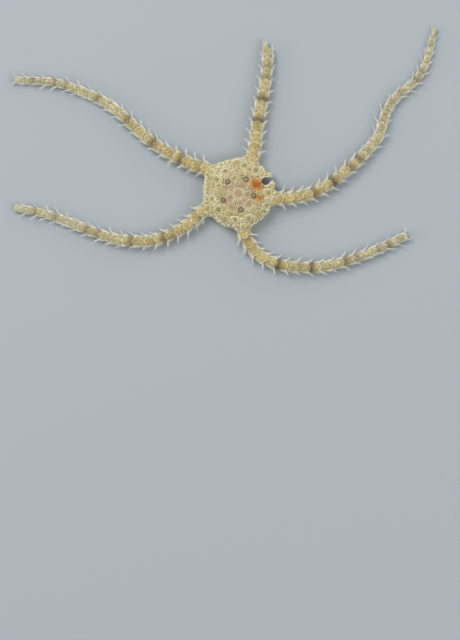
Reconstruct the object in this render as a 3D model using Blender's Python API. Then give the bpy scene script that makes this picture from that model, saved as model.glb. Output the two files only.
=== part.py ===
"""A small brittle star lying flat on its mouth side, with its five arms spread in loose curves.

X points right and Y up in the view from above, and Z is up. The star stands on the plane z = 0, and the
origin is the middle of its footprint. The arms are numbered clockwise from the one at the top, and the
lengths of each arm are numbered outwards from the disc.
"""

import math

import bmesh
import bpy
import numpy as np
from mathutils import Matrix, Vector

MM = 0.001

# Placing
DISC_CENTRE = (2.6 * MM, -8.93 * MM)
CUT_GAP = 0.3 * MM

# Disc
DISC_RADIUS = 7.45 * MM
DISC_TOP = 4.2 * MM
DISC_MIDDLE = 1.75 * MM
DISC_UNDERSIDE = 0.4 * MM
TOP_SQUARENESS = 2.5
UNDERSIDE_SQUARENESS = 4.0
DISC_SIDES = 40
DISC_RINGS = 12
FULLER_BY_AN_ARM = 0.03
FULLER_SPAN = math.radians(30)
CORNER_FLARE = 0.62
CORNER_START = 6.0 * MM
CORNER_RISE = 0.75 * MM

# Raised plates of the disc: how far they stand out and how their sides slope
PLATE_SIDES = 6
PLATE_RISE = 0.18 * MM
PLATE_ROOT = 0.5 * MM
PLATE_FOOT_SHARE = 1.1
PLATE_TOP_SHARE = 0.86
CENTRAL_PLATE = 1.1 * MM

# Rings of plates: distance from the disc's centre, turn from the arm's line or from the line midway between
# two arms in degrees (both ways unless 0), and the plate's radius
PLATES_BY_AN_ARM = (
    (2.15 * MM, 0, 0.92 * MM),
    (3.6 * MM, 0, 0.58 * MM),
    (4.8 * MM, 0, 0.55 * MM),
    (6.1 * MM, 0, 0.5 * MM),
    (4.45 * MM, 19, 0.7 * MM),
    (5.95 * MM, 14.5, 0.95 * MM),
)
PLATES_BETWEEN_ARMS = (
    (3.15 * MM, 0, 0.85 * MM),
    (4.75 * MM, 0, 0.72 * MM),
    (6.2 * MM, 0, 0.6 * MM),
    (6.2 * MM, 12.5, 0.66 * MM),
)
ROOT_PLATES = ((6.95 * MM, 0.72 * MM), (7.75 * MM, 0.62 * MM), (8.35 * MM, 0.5 * MM))

# Tear in the disc's margin between the first two arms, a wedge that widens outwards
TEAR_ANGLE = math.radians(21.0)
TEAR_INNER = 5.7 * MM
TEAR_OUTER = 10.4 * MM
TEAR_HALF_WIDTH = 0.95 * MM

# Mouth
MOUTH_RADIUS = 3.25 * MM
MOUTH_SIDES = 30
MOUTH_DEPTH = 1.9 * MM
JAW_OUTER = MOUTH_RADIUS - CUT_GAP
JAW_INNER = 0.85 * MM
JAW_TOP = MOUTH_DEPTH - CUT_GAP
JAW_BOTTOM = 0.12 * MM
SLIT_HALF_WIDTH = 0.26 * MM
JAW_FOOT_SHARE = 0.96
JAW_BEVEL = 0.25 * MM
JAW_BOW = 0.48
JAW_BOW_POINTS = 5
TOOTH_LEVEL = 0.54 * MM
TOOTH_RADIUS = 0.26 * MM
TOOTH_TIP_RADIUS = 0.1 * MM
TOOTH_ROOT = 0.35 * MM
TOOTH_LENGTH = 0.55 * MM
TOOTH_SIDES = 5
ORAL_SHIELD_PLACE = 4.45 * MM
ORAL_SHIELD_RADIUS = 0.95 * MM
ORAL_SHIELD_LEVEL = 0.22 * MM

# Arms: each route in millimetres from the disc's centre, and the number of lengths that it is divided into
ARM_ROUTES = (
    ((2.81, 7.16), (3.38, 9.24), (3.95, 13.47), (4.74, 18.15), (5.59, 22.4), (6.2, 27.1), (6.3, 31.6)),
    ((7.18, -1.0), (11.41, -1.0), (16.07, 0.19), (20.19, 2.57), (23.82, 5.53), (27.16, 8.8), (29.8, 12.1),
     (30.75, 15.2), (32.0, 18.4), (34.1, 21.0), (36.85, 23.1), (38.85, 25.6), (40.2, 28.75), (41.7, 34.8)),
    ((1.06, -7.33), (1.85, -9.82), (3.93, -12.71), (7.27, -14.65), (11.43, -15.6), (17.38, -15.64),
     (23.76, -14.15), (30.03, -11.7), (35.9, -8.9)),
    ((-7.71, -3.93), (-9.73, -5.97), (-12.79, -7.99), (-17.68, -9.9), (-22.99, -10.14), (-28.22, -9.12),
     (-33.79, -7.0), (-40.86, -4.4), (-47.2, -3.0)),
    ((-6.23, 4.87), (-9.9, 6.27), (-14.56, 8.48), (-18.83, 11.24), (-23.16, 15.2), (-27.01, 18.51),
     (-31.56, 20.97), (-37.91, 23.31), (-42.12, 23.86), (-47.5, 24.1)),
)
ARM_LENGTHS = (3, 6, 5, 5, 5)
ARM_START = 8.9 * MM
ROOT_START = 2.7 * MM
ROOT_FLARES = (0.5, 0.5, 0.5, 0.5, 0.5, 0.0)
WIDTH_AT_CENTRE = 3.66 * MM
WIDTH_LOSS = 0.0445
WIDTH_LEAST = 0.95 * MM
HEIGHT_SHARE = 0.8
SEGMENT_LENGTH = 2.1 * MM
SEGMENT_SWELL = 0.3 * MM
SEGMENT_SPAN = 55 * MM
FLARE_PLACE = 0.84
WAIST_WIDTH = 0.8
WAIST_HEIGHT = 0.84
BROKEN_END = ((0.0, 0.62), (0.32 * MM, 0.5))

# Half a section of an arm, from the top down: share of the half width, share of the height, and how much of
# the flare at a segment's far end reaches this point
ARM_SECTION = (
    (0.0, 1.0, 1.0),
    (0.5, 0.93, 1.0),
    (0.84, 0.70, 1.0),
    (1.0, 0.42, 1.0),
    (0.93, 0.16, 0.7),
    (0.62, 0.0, 0.3),
)
PLATE_NARROWING = 0.34

# Spines: three to a side where the arm is high and two where it is low. For each, its place along the
# segment and its height on the arm, as shares.
SPINE_LEVELS = ((0.58, 0.29), (0.66, 0.57), (0.56, 0.82))
SPINE_LEVELS_LOW_ARM = ((0.54, 0.3), (0.66, 0.66))
LOW_ARM = 1.95 * MM
SPINE_SIDES = 3
SPINE_RADIUS = 0.29 * MM
SPINE_ROOT = 0.4 * MM
SPINE_LENGTH_BASE = 1.3 * MM
SPINE_LENGTH_END = 1.6 * MM
SPINE_ANGLE_BASE = 56.0
SPINE_ANGLE_END = 28.0
SPINE_ANGLE_BY_A_CUT = 45.0
SPINE_TURN_SPAN = 22 * MM
SPINE_CLIMB = 60.0
SPINE_LEVEL_WAY = 0.4
SPINE_FLOOR = 0.15 * MM
SIDE_SKIN = 0.93
SHOULDER_SKIN = 0.7
SHOULDER = 0.7
LENGTH_VARIES = 0.1
ANGLE_VARIES = 5.0
SPINE_SEED = 5

# Colours, linear, with roughness
CREAM = ((0.46, 0.38, 0.22, 1.0), 0.55)
TAN = ((0.47, 0.36, 0.17, 1.0), 0.55)
IVORY = ((0.66, 0.60, 0.48, 1.0), 0.5)


def clear_scene():
    """Removes the objects that the file opened with."""
    for thing in list(bpy.data.objects):
        bpy.data.objects.remove(thing, do_unlink=True)


def material(name, finish):
    """A matt, chalky finish of one colour."""
    colour, roughness = finish
    made = bpy.data.materials.new(name)
    made.use_nodes = True
    shader = made.node_tree.nodes["Principled BSDF"]
    shader.inputs["Base Color"].default_value = colour
    shader.inputs["Roughness"].default_value = roughness
    shader.inputs["Metallic"].default_value = 0.0
    return made


def smoothstep(t):
    """Rises from 0 to 1 with level ends."""
    t = np.clip(t, 0.0, 1.0)
    return t * t * (3.0 - 2.0 * t)


def arm_line(route, samples=24):
    """Points along the smooth curve from the disc's centre through an arm's route, and their distances.

    The curve is a Catmull-Rom spline, whose slope at each point is that of the line joining its neighbours.
    """
    points = np.vstack([(0.0, 0.0), np.array(route) * MM])
    before = np.vstack([2 * points[0] - points[1], points[:-1]])
    after = np.vstack([points[1:], 2 * points[-1] - points[-2]])
    slopes = (after - before) / 2
    line = []
    for i in range(len(points) - 1):
        for t in np.arange(samples) / samples:
            h = np.array([2 * t**3 - 3 * t**2 + 1, t**3 - 2 * t**2 + t, -2 * t**3 + 3 * t**2, t**3 - t**2])
            line.append(h @ np.array([points[i], slopes[i], points[i + 1], slopes[i + 1]]))
    line = np.array([*line, points[-1]])
    steps = np.linalg.norm(np.diff(line, axis=0), axis=1)
    return line, np.concatenate([[0.0], np.cumsum(steps)])


class Arm:
    """One arm's course over the floor: places and directions by distance from the disc's centre."""

    def __init__(self, route):
        self.line, self.distance = arm_line(route)
        self.end = self.distance[-1]
        self.azimuth = math.atan2(route[0][1], route[0][0])
        self.joints = self.segment_ends()

    def place(self, d):
        return np.array([np.interp(d, self.distance, self.line[:, i]) for i in (0, 1)])

    def forward(self, d):
        """The unit direction along the arm, read over half a millimetre each way."""
        reach = 0.5 * MM
        way = self.place(min(d + reach, self.end)) - self.place(max(d - reach, 0.0))
        return way / np.linalg.norm(way)

    def segment_ends(self):
        """Distances of the joints between segments, from the free arm's start to its end."""
        ends = [ARM_START]
        while ends[-1] < self.end:
            swell = SEGMENT_SWELL * math.sin(math.pi * ends[-1] / SEGMENT_SPAN)
            ends.append(ends[-1] + SEGMENT_LENGTH + swell)
        ends = np.array(ends)
        return ARM_START + (ends - ARM_START) * (self.end - ARM_START) / (ends[-1] - ARM_START)


def arm_width(d):
    """The arm's full width over its side plates, which falls evenly with distance."""
    return max(WIDTH_LEAST, WIDTH_AT_CENTRE - WIDTH_LOSS * d)


def flare_in_segment(d, joints):
    """0 at a segment's joints and 1 at the far edge of its plates."""
    i = int(np.clip(np.searchsorted(joints, d, side="right") - 1, 0, len(joints) - 2))
    f = (d - joints[i]) / (joints[i + 1] - joints[i])
    return f / FLARE_PLACE if f < FLARE_PLACE else (1.0 - f) / (1.0 - FLARE_PLACE)


def corner_share(d):
    """1 where an arm's root widens into the disc, falling to 0 at the free arm."""
    return 1.0 - float(smoothstep((d - CORNER_START) / (ARM_START - CORNER_START)))


def root_top(d):
    """Height of the ramp from the free arm up to the disc."""
    return HEIGHT_SHARE * arm_width(d) + CORNER_RISE * corner_share(d)


def section_ring(arm, d, flare, corner=0.0):
    """The ring of points round an arm at one distance: half a section and its mirror image."""
    half = arm_width(d) / 2
    top = HEIGHT_SHARE * arm_width(d) * (WAIST_HEIGHT + (1 - WAIST_HEIGHT) * flare) + CORNER_RISE * corner
    across = []
    for i, (side, up, flared) in enumerate(ARM_SECTION):
        width = WAIST_WIDTH + (1 - WAIST_WIDTH) * (1 - flared + flared * flare)
        if i == 1:
            side -= PLATE_NARROWING * side * (1 - flare)
        if up > 0.3:
            width += CORNER_FLARE * corner
        across.append((side * width * half, up * top))
    profile = across + [(-x, z) for x, z in reversed(across[1:])]
    centre, forward = arm.place(d), arm.forward(d)
    left = np.array([-forward[1], forward[0]])
    return np.array([[*(centre + left * x), z] for x, z in profile])


def mesh_object(name, bm, collection):
    """An object of this shape, placed from the disc's centre, with its faces pointing out."""
    bmesh.ops.recalc_face_normals(bm, faces=bm.faces)
    mesh = bpy.data.meshes.new(name)
    bm.to_mesh(mesh)
    bm.free()
    made = bpy.data.objects.new(name, mesh)
    collection.objects.link(made)
    return made


def loft(name, rings, collection):
    """A closed solid through flat rings of points, with a flat face at each end."""
    bm = bmesh.new()
    loops = [[bm.verts.new(p) for p in ring] for ring in rings]
    around = len(loops[0])
    for near, far in zip(loops, loops[1:]):
        for j in range(around):
            k = (j + 1) % around
            bm.faces.new((near[j], near[k], far[k], far[j]))
    bm.faces.new(loops[0])
    bm.faces.new(loops[-1])
    return mesh_object(name, bm, collection)


def tapered(name, foot, direction, length, radii, sides, collection):
    """A straight cone that starts at foot and points along direction, with a radius for each end."""
    bm = bmesh.new()
    bmesh.ops.create_cone(
        bm, cap_ends=True, segments=sides, radius1=radii[0], radius2=radii[1], depth=length
    )
    way = Vector(direction).normalized()
    turned = way.to_track_quat("Z", "Y").to_matrix().to_4x4()
    middle = Vector(foot) + way * (length / 2)
    bmesh.ops.transform(bm, matrix=Matrix.Translation(middle) @ turned, verts=bm.verts)
    return mesh_object(name, bm, collection)


def largest_part(bm):
    """Deletes all but the closed surface that holds the most space."""
    unseen, shells = set(bm.verts), []
    while unseen:
        stack, shell = [unseen.pop()], set()
        while stack:
            vert = stack.pop()
            shell.add(vert)
            for edge in vert.link_edges:
                other = edge.other_vert(vert)
                if other in unseen:
                    unseen.remove(other)
                    stack.append(other)
        shells.append(shell)

    def size(shell):
        places = np.array([v.co[:] for v in shell])
        return np.prod(np.ptp(places, axis=0))

    keep = max(shells, key=size)
    bmesh.ops.delete(bm, geom=[v for v in bm.verts if v not in keep], context="VERTS")


def combine(body, pieces, operation):
    """Joins or cuts a body with every object of a collection, then removes those objects."""
    change = body.modifiers.new(operation.title(), "BOOLEAN")
    change.operand_type = "COLLECTION"
    change.collection = pieces
    change.operation = operation
    change.solver = "EXACT"
    graph = bpy.context.evaluated_depsgraph_get()
    joined = bpy.data.meshes.new_from_object(body.evaluated_get(graph))
    body.modifiers.clear()
    bm = bmesh.new()
    bm.from_mesh(joined)
    bpy.data.meshes.remove(joined)
    largest_part(bm)
    bm.to_mesh(body.data)
    bm.free()
    for piece in list(pieces.objects):
        bpy.data.objects.remove(piece, do_unlink=True)
    return body


def spine_set(arm, joint, far_joint, by_a_cut, draw, collection):
    """The spines on both sides of one segment, in a fan from the sole up.

    They lie closer along the arm towards its end, but stand out next to a cut, clear of the next length.
    """
    d = (joint + far_joint) / 2
    outwards = min(1.0, (d - ARM_START) / SEGMENT_SPAN)
    turned = min(1.0, (d - ARM_START) / SPINE_TURN_SPAN)
    usual_length = SPINE_LENGTH_BASE + (SPINE_LENGTH_END - SPINE_LENGTH_BASE) * outwards
    usual_angle = SPINE_ANGLE_BASE + (SPINE_ANGLE_END - SPINE_ANGLE_BASE) * turned
    if by_a_cut:
        usual_angle = max(usual_angle, SPINE_ANGLE_BY_A_CUT)
    low_arm = HEIGHT_SHARE * arm_width(joint) < LOW_ARM
    for share, level in SPINE_LEVELS_LOW_ARM if low_arm else SPINE_LEVELS:
        d = joint + share * (far_joint - joint)
        centre, forward = arm.place(d), arm.forward(d)
        left = np.array([-forward[1], forward[0]])
        out = arm_width(d) / 2 * (SHOULDER_SKIN if level > SHOULDER else SIDE_SKIN)
        up = max(HEIGHT_SHARE * arm_width(d) * level, SPINE_RADIUS)
        for side in (-1, 1):
            length = usual_length * (1 + draw.uniform(-LENGTH_VARIES, LENGTH_VARIES))
            angle = math.radians(usual_angle + draw.uniform(-ANGLE_VARIES, ANGLE_VARIES))
            lowest = (SPINE_FLOOR - up) / length
            climb = max(math.sin(math.radians(SPINE_CLIMB * (level - SPINE_LEVEL_WAY))), lowest)
            flat_way = forward * math.cos(angle) + left * side * math.sin(angle)
            way = np.array([*(flat_way * math.sqrt(1.0 - climb**2)), climb])
            foot = np.array([*(centre + left * side * out), up]) - way * SPINE_ROOT
            tapered("spine", foot, way, length + SPINE_ROOT, (SPINE_RADIUS, 0.0), SPINE_SIDES, collection)


def broken_end(arm, last_ring):
    """The rings of the small round stump that an arm ends in: smaller copies of its last ring."""
    place, forward = arm.place(arm.end), arm.forward(arm.end)
    centre = np.array([*place, last_ring[:, 2].max() / 2])
    return [centre + (last_ring - centre) * share + np.array([*forward, 0.0]) * reach
            for reach, share in BROKEN_END]


def build_arm(number, arm, lengths, draw, collection, pieces, finish):
    """The free part of one arm, as lengths that meet face to face at the joints between segments."""
    groups = np.array_split(np.arange(len(arm.joints) - 1), lengths)
    for k, group in enumerate(groups):
        start = arm.joints[group[0]] + CUT_GAP / 2
        end = arm.joints[group[-1] + 1] - (CUT_GAP / 2 if k < lengths - 1 else 0.0)
        stops = [start]
        for i in group:
            near, far = arm.joints[i], arm.joints[i + 1]
            if i > group[0]:
                stops.append(near)
            stops.append(near + FLARE_PLACE * (far - near))
        stops.append(end)
        rings = [section_ring(arm, d, flare_in_segment(d, arm.joints)) for d in stops]
        if k == lengths - 1:
            rings += broken_end(arm, rings[-1])
        body = loft(f"arm_{number}_length_{k + 1}", rings, collection)
        for i in group:
            by_a_cut = i == group[-1] and k < lengths - 1
            spine_set(arm, arm.joints[i], arm.joints[i + 1], by_a_cut, draw, pieces)
        combine(body, pieces, "UNION")
        body.data.materials.append(finish)


def outline(theta, azimuths):
    """The disc's radius in one direction: nearly round, a little fuller towards the arms."""
    near = min(abs(math.remainder(theta - a, math.tau)) for a in azimuths)
    return DISC_RADIUS * (1.0 + FULLER_BY_AN_ARM * (1.0 - smoothstep(near / FULLER_SPAN)))


def dome_height(x, y, azimuths):
    """Height of the disc's upper side over a point, without its plates."""
    share = min(0.999, math.hypot(x, y) / outline(math.atan2(y, x), azimuths))
    rise = DISC_TOP - DISC_MIDDLE
    return DISC_MIDDLE + rise * (1.0 - share**TOP_SQUARENESS) ** (1.0 / TOP_SQUARENESS)


def dome(azimuths, collection):
    """The disc's body: a sphere pulled to its outline, domed above and nearly flat below."""
    bm = bmesh.new()
    bmesh.ops.create_uvsphere(bm, u_segments=DISC_SIDES, v_segments=DISC_RINGS, radius=1.0)
    for vert in bm.verts:
        theta = math.atan2(vert.co.y, vert.co.x)
        level, span = abs(vert.co.z), math.hypot(vert.co.x, vert.co.y)
        upper = vert.co.z > 0
        squareness = TOP_SQUARENESS if upper else UNDERSIDE_SQUARENESS
        rise = (DISC_TOP - DISC_MIDDLE) if upper else (DISC_UNDERSIDE - DISC_MIDDLE)
        reach = outline(theta, azimuths) * span ** (2 / squareness)
        height = DISC_MIDDLE + rise * level ** (2 / squareness)
        vert.co = (reach * math.cos(theta), reach * math.sin(theta), height)
    return mesh_object("disc", bm, collection)


def polar(radius, angle):
    return np.array([radius * math.cos(angle), radius * math.sin(angle)])


def midway(azimuths, i):
    """The direction midway between one arm and the next."""
    return azimuths[i] + math.remainder(azimuths[(i + 1) % len(azimuths)] - azimuths[i], math.tau) / 2


def disc_plates(azimuths):
    """Centre and radius of each raised plate on the dome."""
    plates = [((0.0, 0.0), CENTRAL_PLATE)]
    for i, azimuth in enumerate(azimuths):
        for line, rings in ((azimuth, PLATES_BY_AN_ARM), (midway(azimuths, i), PLATES_BETWEEN_ARMS)):
            for distance, turn, radius in rings:
                for way in (-1, 1) if turn else (1,):
                    plates.append((polar(distance, line + way * math.radians(turn)), radius))
    return plates


def raised_plate(place, height, radius, collection):
    """A plate of the disc: a low tile with sloping sides, square to the surface that height(x, y) gives."""
    x, y = place
    step = 0.1 * MM
    slope_x = (height(x + step, y) - height(x - step, y)) / (2 * step)
    slope_y = (height(x, y + step) - height(x, y - step)) / (2 * step)
    up = Vector((-slope_x, -slope_y, 1.0)).normalized()
    foot = Vector((x, y, height(x, y))) - up * PLATE_ROOT
    tapered("plate", foot, up, PLATE_ROOT + PLATE_RISE, (radius * PLATE_FOOT_SHARE, radius * PLATE_TOP_SHARE),
            PLATE_SIDES, collection)


def build_disc(arms, azimuths, collection, pieces, finish):
    """The disc with the roots of the arms, its plates, the tear in its margin and the hollow of the mouth."""
    body = dome(azimuths, collection)
    for arm in arms:
        distances = np.linspace(ROOT_START, ARM_START - CUT_GAP / 2, len(ROOT_FLARES))
        rings = [section_ring(arm, d, flare, corner_share(d)) for d, flare in zip(distances, ROOT_FLARES)]
        loft("root", rings, pieces)
        for d, radius in ROOT_PLATES:
            raised_plate(arm.place(d), lambda x, y: root_top(math.hypot(x, y)), radius, pieces)
    for centre, radius in disc_plates(azimuths):
        raised_plate(centre, lambda x, y: dome_height(x, y, azimuths), radius, pieces)
    for i in range(len(arms)):
        x, y = polar(ORAL_SHIELD_PLACE, midway(azimuths, i))
        tapered("oral shield", (x, y, DISC_MIDDLE), (0, 0, -1), DISC_MIDDLE - ORAL_SHIELD_LEVEL,
                (ORAL_SHIELD_RADIUS, ORAL_SHIELD_RADIUS * PLATE_TOP_SHARE), PLATE_SIDES, pieces)
    combine(body, pieces, "UNION")
    tapered("mouth", (0, 0, -MM), (0, 0, 1), MOUTH_DEPTH + MM, (MOUTH_RADIUS, MOUTH_RADIUS),
            MOUTH_SIDES, pieces)
    way, across = polar(1.0, TEAR_ANGLE), polar(1.0, TEAR_ANGLE + math.pi / 2)
    wide = across * TEAR_HALF_WIDTH
    corners = (way * TEAR_INNER, way * TEAR_OUTER - wide, way * TEAR_OUTER + wide)
    loft("tear", [[[*corner, z] for corner in corners] for z in (-MM, DISC_TOP)], pieces)
    combine(body, pieces, "DIFFERENCE")
    body.data.materials.append(finish)


def build_jaw(number, angle, collection, pieces, finish):
    """One of the five jaws, a wedge between two mouth slits, with a blunt tooth at its inner end."""
    way, across = polar(1.0, angle), polar(1.0, angle + math.pi / 2)
    lean = math.tan(math.pi / 5)

    def corner(r, side):
        return way * r + across * side * (r * lean - SLIT_HALF_WIDTH)

    bow = [polar(JAW_OUTER, angle + turn) for turn in np.linspace(-JAW_BOW, JAW_BOW, JAW_BOW_POINTS)]
    plan = [corner(JAW_INNER, 1), corner(JAW_INNER, -1), *bow]
    levels = ((JAW_FOOT_SHARE, JAW_BOTTOM), (1.0, JAW_BOTTOM + JAW_BEVEL), (1.0, JAW_TOP))
    body = loft(f"jaw_{number}", [[[*(p * share), z] for p in plan] for share, z in levels], collection)
    foot = (*(way * (JAW_INNER + TOOTH_ROOT)), TOOTH_LEVEL)
    tapered("tooth", foot, (*-way, 0), TOOTH_LENGTH, (TOOTH_RADIUS, TOOTH_TIP_RADIUS), TOOTH_SIDES, pieces)
    combine(body, pieces, "UNION")
    body.data.materials.append(finish)


def main():
    clear_scene()
    scene = bpy.context.scene
    star = bpy.data.collections.new("brittle_star")
    pieces = bpy.data.collections.new("pieces")
    scene.collection.children.link(star)
    scene.collection.children.link(pieces)
    disc_finish = material("cream_plates", CREAM)
    arm_finish = material("tan_plates", TAN)
    jaw_finish = material("ivory_jaws", IVORY)

    arms = [Arm(route) for route in ARM_ROUTES]
    draw = np.random.default_rng(SPINE_SEED)
    azimuths = [arm.azimuth for arm in arms]
    build_disc(arms, azimuths, star, pieces, disc_finish)
    for i, arm in enumerate(arms):
        build_jaw(i + 1, midway(azimuths, i), star, pieces, jaw_finish)
        build_arm(i + 1, arm, ARM_LENGTHS[i], draw, star, pieces, arm_finish)
    bpy.data.collections.remove(pieces)
    for thing in star.objects:
        thing.location = (*DISC_CENTRE, 0.0)


main()
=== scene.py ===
"""A small brittle star as a life-size museum model, lying flat on its mouth side.

All sizes are in metres, in the frame of the solids: X right and Y up as seen from above, floor at z = 0.
Each skin is a grid of rings carried along a line, and its plates are relief worked out ring by ring. The
same plates are written on the grid as attributes, which the materials read for colour.
"""

import math

import bpy
import numpy as np
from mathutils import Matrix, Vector


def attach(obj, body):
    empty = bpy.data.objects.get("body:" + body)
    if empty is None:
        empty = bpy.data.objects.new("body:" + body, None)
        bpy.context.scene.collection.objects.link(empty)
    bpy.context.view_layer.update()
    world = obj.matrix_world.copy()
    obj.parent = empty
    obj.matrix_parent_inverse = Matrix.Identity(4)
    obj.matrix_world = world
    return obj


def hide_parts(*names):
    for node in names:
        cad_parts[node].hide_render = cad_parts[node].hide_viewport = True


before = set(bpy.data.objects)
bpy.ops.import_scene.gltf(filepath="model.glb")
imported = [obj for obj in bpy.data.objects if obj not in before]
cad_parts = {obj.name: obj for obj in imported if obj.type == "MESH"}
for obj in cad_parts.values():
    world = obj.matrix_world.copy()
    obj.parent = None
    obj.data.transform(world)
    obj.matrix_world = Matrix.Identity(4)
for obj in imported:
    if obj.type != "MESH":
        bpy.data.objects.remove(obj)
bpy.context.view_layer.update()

MM = 0.001
ROOT_BODY = "root"

# The photograph's frame: its size in pixels, the length of one pixel, and the disc's centre in it
PHOTO_WIDTH, PHOTO_HEIGHT = 460, 640
PIXEL = 0.2125 * MM
DISC_PIXEL = (238.2, 193.4)
CAMERA_HEIGHT = 1.25
SENSOR = 36.0

# Placing and course of the arms, as in the solids, in millimetres from the disc's centre
DISC_CENTRE = np.array([2.6 * MM, -8.93 * MM])
ARM_ROUTES = (
    ((2.81, 7.16), (3.38, 9.24), (3.95, 13.47), (4.74, 18.15), (5.59, 22.4), (6.2, 27.1), (6.3, 31.6)),
    ((7.18, -1.0), (11.41, -1.0), (16.07, 0.19), (20.19, 2.57), (23.82, 5.53), (27.16, 8.8), (29.8, 12.1),
     (30.75, 15.2), (32.0, 18.4), (34.1, 21.0), (36.85, 23.1), (38.85, 25.6), (40.2, 28.75), (41.7, 34.8)),
    ((1.06, -7.33), (1.85, -9.82), (3.93, -12.71), (7.27, -14.65), (11.43, -15.6), (17.38, -15.64),
     (23.76, -14.15), (30.03, -11.7), (35.9, -8.9)),
    ((-7.71, -3.93), (-9.73, -5.97), (-12.79, -7.99), (-17.68, -9.9), (-22.99, -10.14), (-28.22, -9.12),
     (-33.79, -7.0), (-40.86, -4.4), (-47.2, -3.0)),
    ((-6.23, 4.87), (-9.9, 6.27), (-14.56, 8.48), (-18.83, 11.24), (-23.16, 15.2), (-27.01, 18.51),
     (-31.56, 20.97), (-37.91, 23.31), (-42.12, 23.86), (-47.5, 24.1)),
)
ARM_LENGTHS = (3, 6, 5, 5, 5)
ARM_START = 7.8 * MM
WIDTH_AT_CENTRE = 3.66 * MM
WIDTH_LOSS = 0.0445
WIDTH_LEAST = 0.95 * MM
HEIGHT_SHARE = 0.8
SEGMENT_LENGTH = 1.95 * MM
SEGMENT_SWELL = 0.6 * MM
SEGMENT_FROM, SEGMENT_SPAN = 5 * MM, 52 * MM
JOINT_SHIFT = 0.09 * MM

# Arm skin. Lengths across it are shares of the arm's half width, measured round the section from the top.
ROOTS_INSIDE = 2
SECTION_WAIST = 0.42
SECTION_UPPER = 2.5
SECTION_LOWER = 3.4
SKIN_WIDTH_NEAR, SKIN_WIDTH_FAR = 0.82, 0.97
SKIN_HEIGHT = 0.9
SKIN_LIFT = 0.1 * MM
FULL_WIDTH = 3.2 * MM
TOP_PLATE_NARROW, TOP_PLATE_WIDE = 0.53, 0.74
SIDE_END = 1.85
UNDER_PLATE_NARROW, UNDER_PLATE_WIDE = 0.34, 0.5
TOP_PLATE_STEP = 0.15 * MM
TOP_PLATE_CROWN = 0.08 * MM
TOP_PLATE_LIFT = 0.03 * MM
SIDE_PLATE_STEP = 0.31 * MM
SPINE_RIDGE = 0.06 * MM
UNDER_PLATE_STEP = 0.09 * MM
GROOVE_DEPTH = 0.08 * MM
GROOVE_WIDTH = 0.07 * MM
PORE_DEPTH, PORE_SIZE, PORE_PLACE = 0.3 * MM, 0.17 * MM, 0.2
FLAP_HEIGHT, FLAP_SIZE, FLAP_PLACE = 0.06 * MM, 0.2 * MM, 0.42
EDGE_BOW = 0.2
RIM_WIDTH = 0.17 * MM
SWELL_LEAST, SWELL_SPAN = 0.8, 0.45
PALE_RIDGE, PALE_RIDGE_WIDTH = 1.05, 0.22
FAR_FROM, FAR_SPAN = 8 * MM, 42 * MM
SEGMENT_ROWS = (0.0, 0.03, 0.08, 0.14, 0.2, 0.27, 0.34, 0.41, 0.48, 0.55, 0.62, 0.69, 0.76, 0.83, 0.89, 0.94,
                0.98, 0.995)

# Columns of each half of the arm's skin, as shares of its four fields: top plate, side plate, the side
# plate's part below the edge of the sole, and under plate
FIELD_COLUMNS = (
    (0.0, 0.2, 0.4, 0.58, 0.73, 0.85, 0.94),
    (0.0, 0.05, 0.12, 0.22, 0.35, 0.49, 0.64, 0.8, 0.93),
    (0.0, 0.25, 0.5, 0.75, 0.92),
    (0.0, 0.12, 0.35, 0.65, 1.0),
)

# Broken ends, arm by arm, in millimetres: length that is bare and pale, length without spines, length over
# which the spines get shorter, swelling, and the closing rings (how far beyond the end, and size). The first
# arm ends in a bare narrow stump: where it starts, its size, how far it bends and goes beyond the end.
HOLLOW_END = ((0.0, 0.93), (-0.1, 0.72), (-0.26, 0.45), (-0.34, 0.2))
ROUND_END = ((0.12, 0.95), (0.26, 0.85), (0.38, 0.68), (0.46, 0.42), (0.49, 0.17))
ARM_ENDS = (
    (1.3, 1.4, 0.1, 0.0, ROUND_END),
    (1.6, 0.3, 5.0, -0.3, ROUND_END),
    (1.0, 0.2, 3.0, 0.0, HOLLOW_END),
    (1.5, 1.6, 0.1, 0.08, ROUND_END),
    (1.3, 0.2, 2.5, 0.0, HOLLOW_END),
)
STUMPS = {1: (31.4 * MM, 0.45, 1.12 * MM, 0.3 * MM)}
STUMP_LIFT = 0.8 * MM
STUMP_SHOULDER = 0.25 * MM
BARE_FADE = 0.8 * MM
END_SPINE_SHARE = 0.6

# Single spines at the broken ends: arm, distance before the end in millimetres, level, side (1 is the arm's
# left), length in millimetres and angle from the arm's line
END_SPINES = (
    (1, 1.2, 1.0, -1, 1.25, 2), (1, 1.25, 1.0, 1, 0.9, 12), (1, 1.6, 1.3, -1, 0.6, 24),
    (3, 0.15, 1.1, 1, 0.4, 40), (3, 0.15, 1.3, -1, 0.75, 14), (3, 0.15, 1.55, -1, 0.55, -6),
    (4, 0.3, 1.4, 1, 0.5, 30),
    (5, 0.15, 0.9, 1, 0.8, 12), (5, 0.15, 1.2, -1, 0.85, 9), (5, 0.2, 1.5, 1, 0.7, 26),
    (5, 0.2, 0.8, -1, 0.6, -8),
)

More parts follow.
